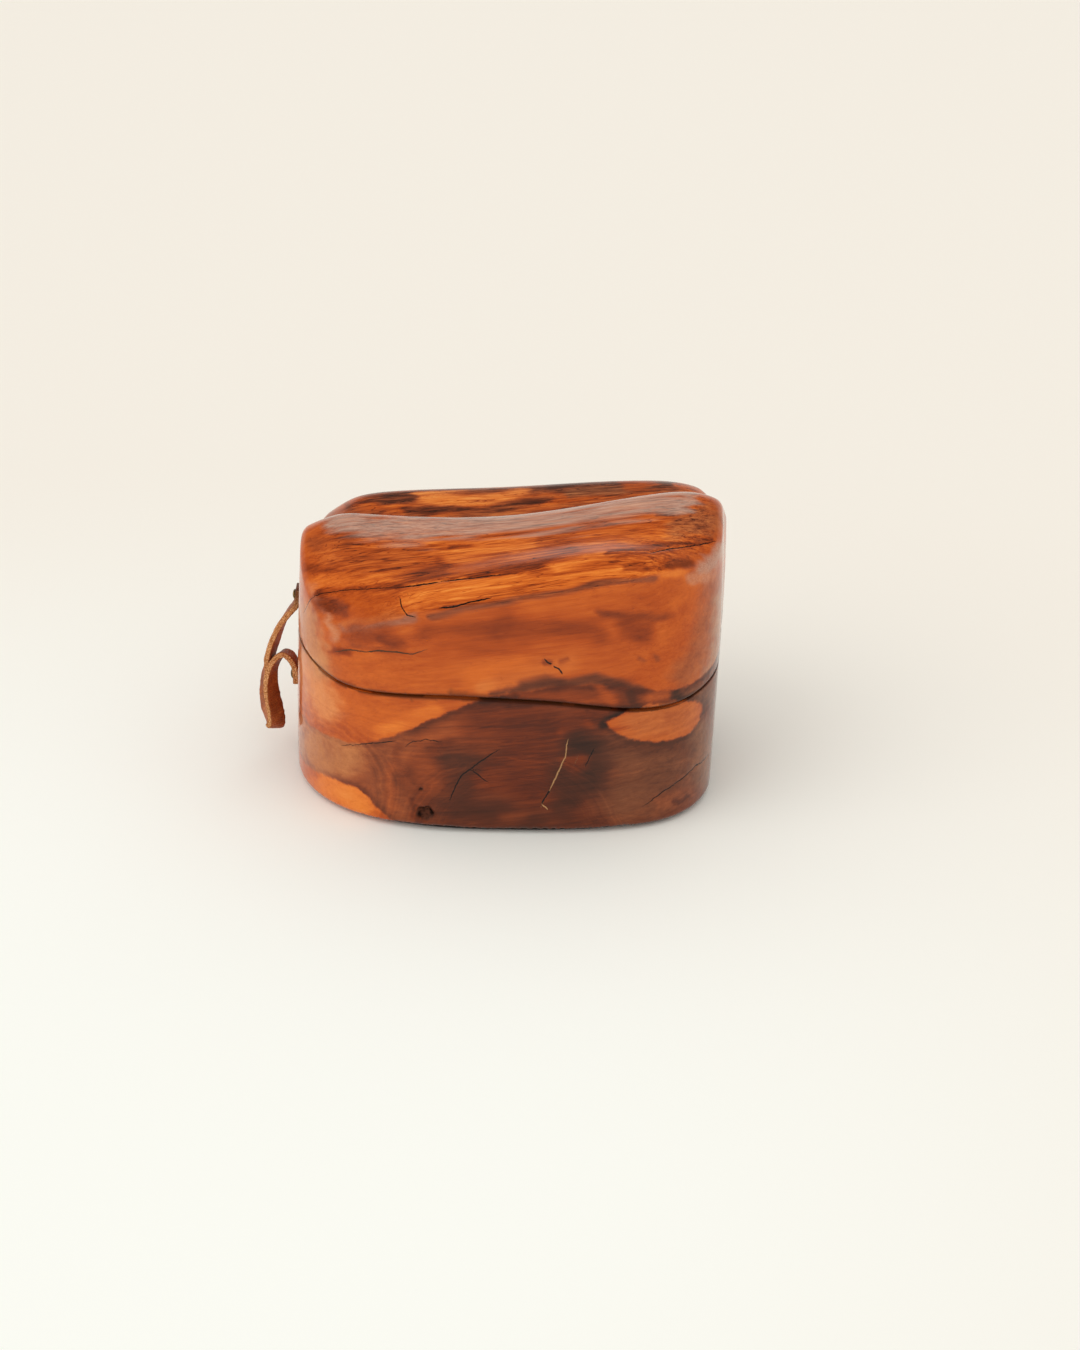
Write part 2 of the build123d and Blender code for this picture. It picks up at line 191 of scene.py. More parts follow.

# The wood. Outlines and ring centres are millimetres across and up, as the front of the block shows them.
# Brush marks are millimetres across and up on a sheet held square to the camera through the middle of the box:
# tone 0 dark to 1 bright, dullness, painted sheen, reach, and the line that the brush follows.
# Growth rings are a centre, how much wider than high they are, and the nearest and farthest that show.
# Cracks are width, tint (0 dark, 1 filled pale), depth, and the line that they follow on the wood.
# Knots are a centre, reach and depth. All lengths are millimetres.
wood = {
    "facet": 1.15,  # longest edge of the outside's facets
    "arris": 0.22, "rimAngle": 50,  # how far the sawn rims are eased, and the angle in degrees that tells them
    "footHeight": 3.6, "footRubs": 4,
    "skin": (66.5, 48.5, 65),  # half width, half depth and top of the inside, which keeps its large facets
    "bare": (65.8, 47.6, 8, 64.3),  # half width, half depth, lowest and highest of the wood left unvarnished
    "top": (60, 0.12, 0.7),  # height over which wood may be top, and how level it is where that starts and is full
    "feather": (13, 3, 2, 3, 0.7),  # length, thickness, throw on walls, more throw on top, throw up and down
    "fibre": (24, 1.6, 0.14, 0.2, 0.7),  # length, thickness, rise, fray on walls, more fray on top
    "brush": (0.2, 1.6, 0.9),  # where a mark starts to fade and ends, in reaches, and its strength
    # how the figure moves on behind the front: shift across and down for each mm back, and a slow swing
    "behind": {"from": -50, "across": 0.16, "fall": 0.04, "figureFall": 0.05, "swing": 5, "period": 23,
               "lift": 0.4},
    "heartStart": (0.34, 0.25, 0), "sapStart": (0.58, 0.03, 0), "paintedSheenBack": 7,  # tone, dullness and painted sheen unbrushed
    "sapOutlines": [
        [(-90, 31), (-71.4, 29.6), (-67.3, 28.6), (-61.5, 29.4), (-54.2, 29.9), (-47, 32), (-36.4, 37.4),
         (-26.1, 43.4), (-17.5, 47.6), (-9.1, 51.5), (1, 53.9), (9.4, 55.5), (17.8, 57.2), (31.1, 57.6),
         (39.6, 55.9), (48.1, 53.8), (55.7, 52.1), (62, 51.7), (72, 54), (90, 60), (90, 130), (-90, 130)],
        [(-90, 5), (-76, 8), (-69.5, 9.8), (-64.2, 11.9), (-60, 12.8), (-56.7, 12.4), (-53, 12.6), (-49.5, 11.0),
         (-47, 8.0), (-44.5, 6.2), (-41.5, 3.4), (-38, 0), (-36, -8), (-90, -8)],
        [(33, 43.5), (39.7, 46.7), (48.2, 48.5), (57, 47.9), (64, 45), (67.1, 41), (66.2, 36.1), (62.6, 33.2),
         (51.9, 33.6), (41.6, 36.4), (36.5, 39.4)],
    ],
    "rings": [(2, -6, 1.0, 24, 46), (-60, 14, 0.9, 12, 32), (50, 14.4, 2.6, 0, 17), (-46, 110, 3.0, 64, 90)],
    "knots": [((-28.5, -54.3, 7.2), 3.3, 2.0), ((-29.7, -54.1, 16.5), 0.9, 0.8)],
    # a shallow worn step, sunk on the left as its line runs: depth, reach, line on the brush marks' sheet
    "steps": [(0.55, 7, [(-79.5, 30.5), (-75, 22.5), (-71.5, 14.5), (-70.8, 7.8), (-60.5, 8), (-50, 8),
                         (-41, 7.5)])],
    "heartBrush": [
        (0.66, 0.3, 0, 2.5, [(-83, -3.5), (-83.5, -17)]),
        (0.72, 0.6, 0, 5, [(-81.5, -3.5), (-78, -12.5), (-74.5, -19.5), (-67.5, -23)]),
        (0.38, 0.35, 0, 1.8, [(-20.5, -7.5), (-29, -11.5), (-37.5, -16.5), (-45.5, -20), (-52.5, -21.5)]),
        (0.49, 0.3, 0, 4, [(-46, -25.5), (-36, -21), (-26, -16.5)]), (0.5, 0.4, 0, 6, [(-61.5, -25), (-50, -25)]),
        (0.7, 0.65, 0, 7, [(-80, -24), (-76, -31), (-65.5, -30)]),
        (0.45, 0.45, 0, 7, [(-56, -31), (-55, -41.5), (-50, -50)]),
        (0.42, 0.4, 0, 1.6, [(-57, -29), (-58.5, -38.5)]),
        (0.4, 0.3, 0, 1.8, [(-50, -25.5), (-50, -32), (-46.5, -37.5)]),
        (0.5, 0.3, 0, 2, [(-52.5, -32.5), (-52, -46.5)]), (0.3, 0.2, 0, 1.2, [(-46, -44), (-43, -52)]),
        (0.32, 0.4, 0, 3, [(-35.5, -44.5), (-37.5, -52)]), (0.43, 0.25, 0, 4, [(-39, -37.5), (-41, -32)]),
        (0.34, 0.2, 0, 2.4, [(-37, -26.5), (-32, -24)]), (0.25, 0.5, 0, 4, [(-30.5, -30), (-23.5, -31.5)]),
        (0.24, 0.4, 0, 6, [(-26.5, -39), (-29, -47.5), (-14.5, -47.5), (-0.5, -52)]),
        (0.32, 0.1, 0, 9, [(-20.5, -15), (-3, -18), (-3, -30)]), (0.33, 0.1, 0, 6, [(-17.5, -35.5), (-6, -39)]),
        (0.34, 0.3, 0, 3, [(-12.5, -50.5), (-7, -49)]), (0.29, 0.1, 0, 6, [(-8, -15), (6.5, -19.5), (21, -14)]),
        (0.42, 0, 0, 1.8, [(8, -20), (17.5, -17.5)]), (0.11, 0.5, 0, 6, [(14, -24), (22, -27.5), (18.5, -37)]),
        (0.2, 0.4, 0, 5, [(5.5, -35.5), (12.5, -41.5), (8, -46.5)]), (0.34, 0.1, 0, 3, [(11, -31), (14, -30)]),
        (0.31, 0.1, 0, 8, [(-5.5, -27.5), (-2.5, -39)]),
        (0.4, 0.75, 0, 12, [(32.5, -27.5), (44.5, -30), (38.5, -39), (30.5, -43)]),
        (0.1, 0.3, 0, 1.3, [(22, -17.5), (26.5, -14.5), (30.5, -13)]),
        # the first mark below is painted shade under the lens-shaped crack
        (0.3, 0.6, 0, 3, [(27, -24), (38.5, -24.5), (53.5, -23)]), (0.45, 0.5, 0, 2.5, [(42, -44.5), (52, -42)]),
        (0.25, 0.3, 0, 0.9, [(47.5, -44.5), (52, -43)]),
        (0.45, 0.9, 0, 5, [(56, -19.5), (58, -27.5), (57, -35.5)]), (0.4, 0.8, 0, 4, [(52, -8), (58, -6.5)]),
        (0.3, 0.3, 0, 4, [(3.5, -52), (21, -52.5)]), (0.42, 0.1, 0, 3, [(-8.5, -7.5), (8.5, -8), (25, -8.5)]),
        (0.24, 0.4, 0, 1.7, [(32, -6.5), (33.5, -11)]), (0.5, 0.1, 0, 2, [(21.5, -4.5), (25, -10)]),
        (0.54, 0.2, 0, 3, [(39, -8), (45, -6.5)]), (0.2, 0.7, 0, 1.8, [(47.5, -4), (48.5, -8)]),
    ],
    # The third number in these marks is painted sheen: pale reflection painted on the crest, creases and edges.
    "sapBrush": [
        (0.62, 0, 0, 7, [(-70, -6.5), (-61.5, -12.5), (-52.5, -15)]),
        (0.74, 0, 0, 3, [(-55, -19.5), (-45.5, -17), (-37.5, -12.5)]),
        (0.82, 0.3, 0.05, 5, [(-80, 4), (-77.5, -6), (-74, -12)]), (0.85, 0, 0, 6, [(-73.5, -38.5), (-63, -45.5)]),
        (0.45, 0, 0, 0.9, [(24.5, -19), (30.5, -18.5)]), (0.62, 0.3, 0, 8, [(35, -16), (52.5, -14)]),
        (0.72, 0.6, 0.02, 4.5, [(-81.5, 21.5), (-79.5, 10.5), (-75.5, 2.5)]),
        (0.6, 0, 0, 2, [(-76.5, 20), (-73.5, 12.5)]),
        # painted highlight along the knobby left ridge
        (0.66, 0.3, 0.2, 1.4, [(-79.5, 31), (-75.5, 22.5), (-71.5, 13)]),
        (0.42, 0, 0, 3, [(-72, 24.5), (-69.5, 22)]), (0.56, 0, 0, 4, [(-65, 26.5), (-60.5, 22.5)]),
        # painted highlight along the left of the crease where the slope meets the front
        (0.46, 0.4, 0.15, 1.6, [(-69.5, 16.5), (-61.5, 16), (-53.5, 18), (-44.5, 20)]),
        (0.6, 0.2, 0, 1.5, [(-68.5, 17.5), (-57.5, 19.5), (-50, 21.5)]),
        (0.44, 0, 0, 3.2, [(-66, 13.5), (-54.5, 14.5), (-50, 11)]), (0.38, 0, 0, 2, [(-56, 12.5), (-52.5, 10)]),
        (0.45, 0, 0, 3.5, [(-40.5, 15), (-25.5, 16), (-7.5, 18.5)]), (0.53, 0, 0, 4, [(-33.5, 10), (-7.5, 11)]),
        (0.62, 0, 0, 5, [(-68.5, 3.5), (-50, 0.5), (-33.5, 2.5)]), (0.68, 0, 0, 5, [(-23, -0.5), (-7.5, 1.5)]),
        (0.74, 0.15, 0, 2.5, [(-20.5, -4.5), (-10, -2.5)]), (0.64, 0.1, 0, 4, [(-13, -2.5), (-3, 0), (9.5, 4)]),
        (0.62, 0, 0, 4, [(-5.5, 21.5), (8.5, 24.5), (28, 27)]), (0.43, 0, 0, 4, [(-14, 16), (3, 16), (19.5, 15)]),
        (0.4, 0.1, 0, 1.7, [(21.5, 21.5), (33.5, 20), (45.5, 20.5)]), (0.38, 0, 0, 4, [(31, 17), (36.5, 15)]),
        (0.6, 0, 0, 6, [(42, 29), (53.5, 26.5)]), (0.58, 0, 0, 6, [(50.5, 18), (45, 6.5), (39, 0)]),
        (0.54, 0.4, 0, 5, [(62.5, 32), (59.5, 18), (56, 6.5), (50.5, 0)]),
        # painted reflection down the lid's right edge: paler, dull and hazed
        (0.58, 0.85, 0.2, 4, [(65.5, 26.5), (63.5, 6.5), (60, -2)]),
        (0.27, 0.55, 0, 2.2, [(-5.5, -4), (3, -2.5), (10, -3.5), (18.5, -1), (24.5, -3), (34.5, -5.5)]),
        (0.3, 0.5, 0, 1.2, [(-16, -6.5), (-5.5, -4.5)]), (0.42, 0.2, 0, 0.8, [(2, 4), (4.5, 4)]),
        (0.46, 0.2, 0, 0.8, [(7.5, 4.5), (10, 5.5)]), (0.46, 0.2, 0, 1, [(35, 5.5), (36, 5)]),
        (0.48, 0.2, 0, 1, [(41, 6.5), (41.5, 5.5)]), (0.42, 0.2, 0, 3, [(-79.5, 46), (-68.5, 46)]),
        (0.57, 0, 0, 3, [(-63.5, 45), (-55.5, 45)]), (0.4, 0, 0, 2, [(-80.5, 37.5), (-69.5, 37.5), (-55.5, 37)]),
        (0.7, 0, 0, 3, [(-78, 32.5), (-60.5, 33), (-50, 34)]),
        (0.36, 0.1, 0, 2.4, [(-48, 32), (-39, 35), (-31, 37)]),
        (0.38, 0, 0, 1.1, [(-78, 28.5), (-66, 30), (-50, 31)]),
        (0.36, 0, 0, 1.4, [(-24, 34.5), (-14.5, 37), (-7.5, 38.5)]),
        (0.8, 0, 0, 3.5, [(-46.5, 27.5), (-28.5, 30), (-7.5, 34)]), (0.56, 0, 0, 3, [(-71.5, 27), (-55.5, 27)]),
        (0.35, 0, 0, 3, [(-76.5, 25), (-69.5, 23.5)]), (0.68, 0, 0, 2.5, [(-41.5, 45), (-23, 46), (-7.5, 48)]),
        (0.7, 0, 0, 2.2, [(-28.5, 42), (-4, 45)]), (0.42, 0, 0, 1, [(-31, 44.5), (-24, 45.5)]),
        (0.56, 0, 0, 2, [(-50, 40.5), (-30, 40)]), (0.4, 0, 0, 1.8, [(-33.5, 39.5), (-20.5, 41.5), (-12.5, 43)]),
        (0.74, 0, 0, 3, [(-30, 41.5), (-14, 44.5), (-4, 47.5)]),
        (0.38, 0, 0, 1.5, [(-14, 36.5), (-3, 38), (7.5, 40.5)]),
        (0.78, 0, 0, 3, [(7.5, 38), (17, 41), (25, 43.5)]),
        (0.76, 0, 0, 2.2, [(-14, 31.5), (3, 33.5), (25, 36), (50.5, 36)]), (0.5, 0, 0, 2.5, [(5, 43), (10, 44.5)]),
        (0.78, 0, 0, 2.8, [(32.5, 47.5), (42, 49.5), (52.5, 50.5)]),
        (0.38, 0.1, 0, 1.0, [(24, 43), (33.5, 44.5), (47.5, 46), (59, 47)]),
        (0.4, 0.1, 0, 1.2, [(30, 37.5), (46.5, 38), (53.5, 39)]), (0.36, 0.2, 0, 2, [(47.5, 39), (51, 39.5)]),
        (0.64, 0, 0, 3, [(17, 46), (38, 49)]), (0.3, 0.3, 0, 1.2, [(39, 56), (50.5, 57), (59, 57)]),
        # painted sheen on the lid's right corner, where slope, front and end meet
        (0.57, 0.5, 0, 5, [(48, 53), (60.5, 54)]), (0.55, 0.5, 0.42, 2.6, [(63.5, 44), (60.5, 40.5), (57, 36.5)]),
        (0.38, 0.35, 0.03, 1.1, [(-38.5, 20.5), (-26.5, 23), (-14, 25), (1, 27.5), (14, 30.5), (25, 32.5),
                                 (40, 33.5)]),
        # painted highlight where the crease reaches the right corner
        (0.65, 0.3, 0.2, 2, [(53.5, 33.5), (59, 34.5)]),
        (0.3, 0.6, 0, 2.6, [(-66, 59), (-55, 62), (-33.5, 64.5), (-7.5, 65.5), (21, 66.5), (45, 66.5)]),
        (0.88, 0.1, 0, 3.2, [(-39, 61.5), (-23, 61), (-7.5, 62)]),
        (0.3, 0.4, 0, 2.2, [(-44.5, 57), (-23, 58), (0, 61)]), (0.45, 0.7, 0, 1.8, [(10, 64), (30, 65)]),
        (0.55, 0, 0, 3, [(31, 67), (36.5, 67)]), (0.56, 0, 0, 3, [(-65, 60.5), (-57.5, 59)]),
        (0.62, 0.1, 0, 5, [(-74, 42), (-60, 41.5), (-48, 43)]),
        (0.48, 0.1, 0, 1.0, [(-66, 11), (-58, 8.5), (-47.5, 8)]), (0.38, 0, 0, 1.3, [(-72, 8.5), (-67, 8)]),
        # painted sheen along the crest, a reflection of the bright room painted on
        (0.5, 0.4, 0.58, 4.2, [(-72, 54), (-60, 52), (-47, 51.5), (-28, 52.5), (0, 54.5), (20, 57), (32, 59.5),
                               (52, 61.5)]),
    ],
    "cracks": [
        (0.42, 0, 0.2, [(-56.8, -43.2, 27.7), (-47, -48.9, 31.6), (-38.2, -52.2, 34.2)]),
        (0.38, 0, 0.2, [(-34.5, -53, 32.9), (-31.2, -53.4, 35.2), (-26.8, -54.1, 36), (-22.4, -54.9, 35.6)]),
        (0.42, 0, 0.2, [(-19.8, -55.7, 13.1), (-18, -55.9, 18.4), (-15.5, -56, 23.1), (-9.3, -56.2, 28.3),
                        (-3.1, -56.4, 33.1)]),
        (0.35, 0, 0.1, [(-12.6, -56.1, 25.6), (-6.7, -56.5, 20.6)]),
        (0.4, 0.85, 0.25, [(20.5, -56.6, 37), (19.6, -56.8, 30.6), (16.9, -57.2, 23.8), (14.5, -57.1, 17.9)]),
        (0.6, 0, 0.4, [(14.8, -57.1, 18.4), (12.8, -56.9, 14.6), (11.4, -56.8, 12.2)]),
        (0.4, 1, 0.2, [(11.4, -56.8, 12.4), (13.8, -56.8, 10.2)]),
        (0.5, 0, 0.2, [(29.4, -56.2, 33.7), (28, -56.3, 30.3), (26.4, -56.5, 26.9)]),
        (0.45, 0, 0.2, [(47.2, -52.9, 9.5), (53.1, -50.8, 13.4), (59.4, -47, 16), (64.9, -41.4, 18.4),
                        (70, -32.2, 17.8)]),
        (0.65, 0, 0.4, [(-35.7, -40.9, 86.7), (-29, -42.1, 88), (-22.2, -42.5, 89.2)]),
        (0.55, 0, 0.3, [(-22.2, -42.5, 89.2), (-17.2, -43, 90.2), (-8.9, -43.6, 91.6), (-2.2, -43.8, 92.8)]),
        (0.55, 0, 0.3, [(-22, -51.1, 83.8), (-17, -51.6, 84.4), (-12.1, -51.2, 86), (-5.4, -51, 87.3)]),
        (0.24, 0, 0.15, [(-69.8, -26.6, 70.6), (-67, -31.5, 77.4), (-63.4, -32.7, 80.3), (-54.7, -34.8, 82.7),
                         (-42.6, -38.8, 85.3), (-35.7, -40.9, 86.7)]),
        (0.36, 0, 0.2, [(-35.6, -44.9, 84.5), (-34.8, -48, 82.3), (-33.1, -50.2, 80.7), (-30.4, -50.9, 80.4)]),
        (0.36, 0.1, 0.15, [(-57.9, -42.5, 63.2), (-52.9, -45.6, 65.5), (-47.7, -47.6, 65.7), (-42.5, -49.5, 67.1),
                           (-37.4, -50.8, 67.3), (-31.7, -51.7, 67), (-27.3, -52.2, 68.8)]),
        (0.5, 0, 0.3, [(12.6, -55, 66.8), (13.8, -55.1, 65.4), (15, -55.1, 65)]),
        (0.5, 0, 0.3, [(15.6, -55.3, 64.2), (17.4, -55.3, 63.2), (18.6, -55.4, 61.4)]),
        (0.45, 0, 0.2, [(47.6, -40.5, 98.9), (54.5, -35.8, 98.3), (64.9, -29.9, 97.1), (70.2, -26.3, 97)]),
    ],
}


def smoothStep(low, high, value):
    t = np.clip((value - low) / (high - low), 0, 1)
    return t * t * (3 - 2 * t)


def runDistance(line, across, up):
    # distance to a line in mm, on which side of it, and the share of the line gone by
    nearest, side, gone = np.full(len(across), 1e9), np.zeros(len(across)), np.zeros(len(across))
    for index, ((ax, az), (bx, bz)) in enumerate(zip(line, line[1:])):
        dx, dz = bx - ax, bz - az
        along = np.clip(((across - ax) * dx + (up - az) * dz) / (dx * dx + dz * dz), 0, 1)
        far = np.hypot(across - ax - along * dx, up - az - along * dz)
        closer = far < nearest
        nearest = np.where(closer, far, nearest)
        side = np.where(closer, np.sign(dx * (up - az) - dz * (across - ax)), side)
        gone = np.where(closer, (index + along) / (len(line) - 1), gone)
    return nearest, side, gone


def insideDistance(outline, across, up):
    # signed distance in mm to a closed outline, above zero inside it
    nearest = runDistance(outline + outline[:1], across, up)[0]
    crossings = np.zeros(len(across), int)
    for (ax, az), (bx, bz) in zip(outline, outline[1:] + outline[:1]):
        if az != bz:
            crossings += ((az > up) != (bz > up)) & (across < ax + (up - az) / (bz - az) * (bx - ax))
    return np.where(crossings % 2 == 1, nearest, -nearest)


def brushed(marks, start, across, up, fray):
    # tone, dullness and haze after every brush mark; each mark frays along the grain
    fading, ended, strength = wood["brush"]
    layers = [np.full(len(across), float(value)) for value in start]
    for *targets, reach, line in marks:
        away = runDistance(line, across, up)[0] / reach + fray
        weight = strength * (1 - smoothStep(fading, ended, away))
        for layer, target in zip(layers, targets):
            layer += (target - layer) * weight
    return layers


def growthRings(across, up):
    # how far out the strongest ring lies from its centre, and how strongly it shows
    ring, amount = np.full(len(across), 1e3), np.zeros(len(across))
    for cx, cz, squash, inner, outer in wood["rings"]:
        far = np.hypot((across - cx) / squash, up - cz)
        shows = smoothStep(inner - 1, inner + 5, far) * (1 - smoothStep(outer - 8, outer, far))
        ring = np.where(shows > amount, far, ring)
        amount = np.maximum(amount, shows)
    return ring, amount


def crackLines(places, normals):
    # side offset from the nearest crack, half its width there, its tint, and the depth of its groove
    count = len(places)
    offset, half, tint, sink = np.full(count, 9.0), np.full(count, -1.0), np.zeros(count), np.zeros(count)
    for wide, pale, depth, route in wood["cracks"]:
        route = [np.array(point) for point in route]
        total, gone = sum(np.linalg.norm(b - a) for a, b in zip(route, route[1:])), 0.0
        for a, b in zip(route, route[1:]):
            length = np.linalg.norm(b - a)
            way = (b - a) / length
            along = (places - a) @ way
            across = ((places - a) * np.cross(way, normals)).sum(1)
            off = np.linalg.norm(places - a - np.clip(along, 0, length)[:, None] * way, axis=1)
            share = (gone + along) / total
            taper = wide / 2 * np.clip(np.minimum(share, 1 - share) * 6 + 0.25, -1, 1)  # both ends run out thin
            nearer = (off < np.abs(offset)) & (off < 4)
            offset = np.where(nearer, np.sign(across) * off, offset)
            half = np.where(nearer, taper, half)
            tint = np.where(nearer, pale, tint)
            sink = np.maximum(sink, depth * np.clip(1 - off / 0.7, 0, 1) * (taper > 0))
            gone += length
    return offset, half, tint, sink


def paintWood(piece):
    mesh = piece.data
    count = len(mesh.vertices)
    places, normals = np.zeros(count * 3, np.float32), np.zeros(count * 3, np.float32)
    mesh.vertices.foreach_get("co", places)
    mesh.vertex_normals.foreach_get("vector", normals)
    places = places.reshape(-1, 3).astype(float) / mm
    normals = normals.reshape(-1, 3).astype(float)
    x, y, z = places.T

    # where each point falls on the sheet, and where its twin on the front falls if it faces away
    forward = np.array((0, math.cos(tilt), -math.sin(tilt)))
    upward = np.array((0, math.sin(tilt), math.cos(tilt)))
    facing = smoothStep(-0.15, 0.2, -normals @ forward)
    topFrom, sloping, level = wood["top"]
    onTop = smoothStep(sloping, level, normals[:, 2]) * (z > topFrom)
    onTop = onTop * (1 - smoothStep(0.15, 0.5, np.abs(normals[:, 0])))  # the ends count as walls
    long, thick, onWalls, more, upDown = wood["feather"]
    feather = np.array([noise.noise_vector(Vector((px / long, py / thick, pz / thick))) for px, py, pz in places])
    throw = onWalls + more * onTop
    long, thick, rise, onWalls, more = wood["fibre"]
    fibre = np.array([noise.noise(Vector((px / long, py / thick, (pz - rise * px) / thick)))
                      for px, py, pz in places])
    fray = fibre * (onWalls + more * onTop)

    def onSheet(points):
        rays = points - np.array(eyePlace)
        depth = rays @ forward
        across = rays[:, 0] / depth * camera["distance"]
        up = rays @ upward / depth * camera["distance"]
        return across + throw * feather[:, 0], up + upDown * feather[:, 2]

    bend = wood["behind"]
    behind = np.clip(y - bend["from"], 0, None)
    drift = bend["swing"] * np.sin(behind / bend["period"])
    slid = bend["across"] * behind + drift
    twin = np.stack([x + slid, np.full(count, -52.0), z - bend["fall"] * behind + bend["lift"] * drift], 1)
    front, back = onSheet(places), onSheet(twin)
    for name, marks, start in (("heartPaint", wood["heartBrush"], wood["heartStart"]),
                               ("sapPaint", wood["sapBrush"], wood["sapStart"])):
        near, far = brushed(marks, start, *front, fray), brushed(marks, start, *back, fray)
        # the painted sheen lies on the front and the crest, and none behind them
        near[2], far[2] = near[2] * (1 - smoothStep(0, wood["paintedSheenBack"], y)), far[2] * 0
        paint(mesh, name, *[a * facing + b * (1 - facing) for a, b in zip(near, far)])

    # outlines, growth rings and streaks run through the block from front to back
    deep = smoothStep(-46, 10, y)
    px, pz = x + deep * slid, z - deep * (bend["figureFall"] * behind - bend["lift"] * drift)
    edge = np.maximum.reduce([insideDistance(outline, px, pz) for outline in wood["sapOutlines"]])
    ring, amount = growthRings(px, pz)
    paint(mesh, "figure", edge, ring, amount * (1 - onTop))

    offset, half, tint, sink = crackLines(places, normals)
    paint(mesh, "crack", offset, half, tint)

    hole = np.zeros(count)
    for centre, reach, depth in wood["knots"]:
        spread = places - np.array(centre)
        turn = np.arctan2(spread[:, 2], spread[:, 0])
        ragged = reach * (1 + 0.1 * np.sin(2 * turn + 0.9) + 0.1 * np.sin(5 * turn + 2))
        share = np.linalg.norm(spread, axis=1) / ragged
        hole = np.maximum(hole, 1 - smoothStep(0.6, 1.25, share))
        sink = np.maximum(sink, depth * (1 - smoothStep(0.45, 1.0, share)))
    wide, broad, lowest, highest = wood["bare"]
    bare = (np.abs(x / wide) ** 3 + np.abs(y / broad) ** 3 < 1.02) & (z > lowest) & (z < highest)
    paint(mesh, "places", hole, bare.astype(float), onTop)

    for depth, reach, line in wood["steps"]:
        far, side, gone = runDistance(line, *front)
        ends = smoothStep(0, 0.12, gone) * (1 - smoothStep(0.8, 1, gone))
        drop = smoothStep(0, 0.9, far * (side > 0)) * np.clip(1 - far / reach, 0, 1)
        sink = np.maximum(sink, depth * drop * ends * (normals[:, 1] < 0))
    mesh.vertices.foreach_set("co", ((places - normals * sink[:, None]) * mm).astype(np.float32).ravel())
    mesh.update()


def isOutside(point):
    wide, broad, top = wood["skin"]
    return abs(point.x / mm / wide) ** 3 + abs(point.y / mm / broad) ** 3 > 1 or point.z / mm > top


def carvedWood(node, name):
    # the CAD shape with finer facets outside, its sawn rims eased by hand and its foot rubbed round
    bm = nodeCopy(node)
    seam = bm.verts.layers.float.new("seam")
    sharp = [e for e in bm.edges if e.calc_face_angle(0) > math.radians(wood["rimAngle"])]
    rims = {v for e in sharp for v in e.verts if v.co.z > 4 * mm}
    for vert, inward in [(v, v.normal * wood["arris"] * mm) for v in rims]:
        vert.co -= inward
        vert[seam] = 1
    cutFiner(bm, wood["facet"], isOutside)
    foot = [v for v in bm.verts if v.co.z < wood["footHeight"] * mm and isOutside(v.co)]
    for _ in range(wood["footRubs"]):
        bmesh.ops.smooth_vert(bm, verts=foot, factor=0.5, use_axis_x=True, use_axis_y=True, use_axis_z=True)
    piece = meshFrom(bm, name)
    paintWood(piece)
    print(name, "is carved and painted,", len(piece.data.polygons), "facets")
    return piece


# Burl wood under hand-rubbed gloss varnish: warm streaks deep under a clear skin that is never quite flat.
# Streaks are length and thickness in mm, detail, roughness and distortion; swings are how far each kind of streak
# moves the tone on the walls and on top.
varnish = {
    "streakRise": 8,  # degrees, up to the right
    "streaks": {
        "broad": (46, 4.2, 4, 0.6, 0.6), "narrow": (26, 1.2, 4, 0.65, 0.4), "fine": (9, 0.5, 3, 0.65, 0.1),
        "cloud": (16, 9, 3, 0.5, 0.4), "ragged": (3.4, 3.0, 4, 0.65, 0.0), "gouge": (18, 11, 2, 0.5, 0.0),
        "vein": (60, 3.4, 3, 0.6, 0.8),
    },
    "swings": {"broad": (0.20, 0.36), "narrow": (0.14, 0.80), "fine": (0.08, 0.42), "cloud": (0.16, 0.16)},
    "sapFray": 2.6, "sapBlur": 0.6,  # mm either way where sapwood meets heartwood
    "veinWidth": 0.014, "veinOnWalls": -0.04, "veinOnTop": -0.2,
    "ringSpacing": 1.6, "ringBend": 3.5, "ringSwing": 0.13,
    "warm": [(0.00, "#1A0B06"), (0.14, "#34170C"), (0.28, "#5A220D"), (0.42, "#8C370E"), (0.55, "#B44C12"),
             (0.68, "#D0651F"), (0.82, "#E67F2E"), (1.00, "#F4A24C")],
    "dull": [(0.0, "#271712"), (0.30, "#563323"), (0.50, "#83563A"), (0.68, "#AE7B4F"), (1.0, "#D9A574")],
    # the first colour here is the painted sheen, a pale reflection painted on the crest and edges
    "paintedSheen": "#D0B2A0", "crackDark": "#140B07", "crackFilled": "#B8895B",
    # rot colours the knot holes; the next colour is painted seam shade on the sawn edges, with old dirt
    "rot": [(0.44, "#170B08"), (0.62, "#5E3526")], "seamShadeAndGrime": "#1E0D07", "bareWood": "#C58A56",
    "gougeDepth": 0.8, "poreDepth": 0.05,
    "woodRoughness": 0.36, "bareRoughness": 0.3, "ior": 1.3, "gloss": 0.9, "glossRoughness": 0.13,
}
woodFinish = bpy.data.materials.new("varnishedBurlWood")
tree = newTree(woodFinish)
place = addNode(tree, "TexCoord").outputs["Object"]
carried = {name: addNode(tree, "Attribute", attribute_name=name)
           for name in ("figure", "crack", "places", "heartPaint", "sapPaint", "seam")}
figure, crackAt, placesAt = [addNode(tree, "SeparateXYZ", {0: carried[name].outputs["Vector"]}).outputs
                             for name in ("figure", "crack", "places")]
knot, bare, onTop = placesAt
grain = {}
for name, (length, thick, detail, rough, bend) in varnish["streaks"].items():
    leaned = addNode(tree, "Mapping", {"Vector": place, "Rotation": (0, math.radians(varnish["streakRise"]), 0)})
    drawn = addNode(tree, "Mapping", {"Vector": leaned, "Scale": (1 / length / mm, 1 / thick / mm, 1 / thick / mm)})
    grain[name] = addNode(tree, "TexNoise", {"Vector": drawn, "Scale": 1.0, "Detail": detail, "Roughness": rough,
                                             "Distortion": bend})
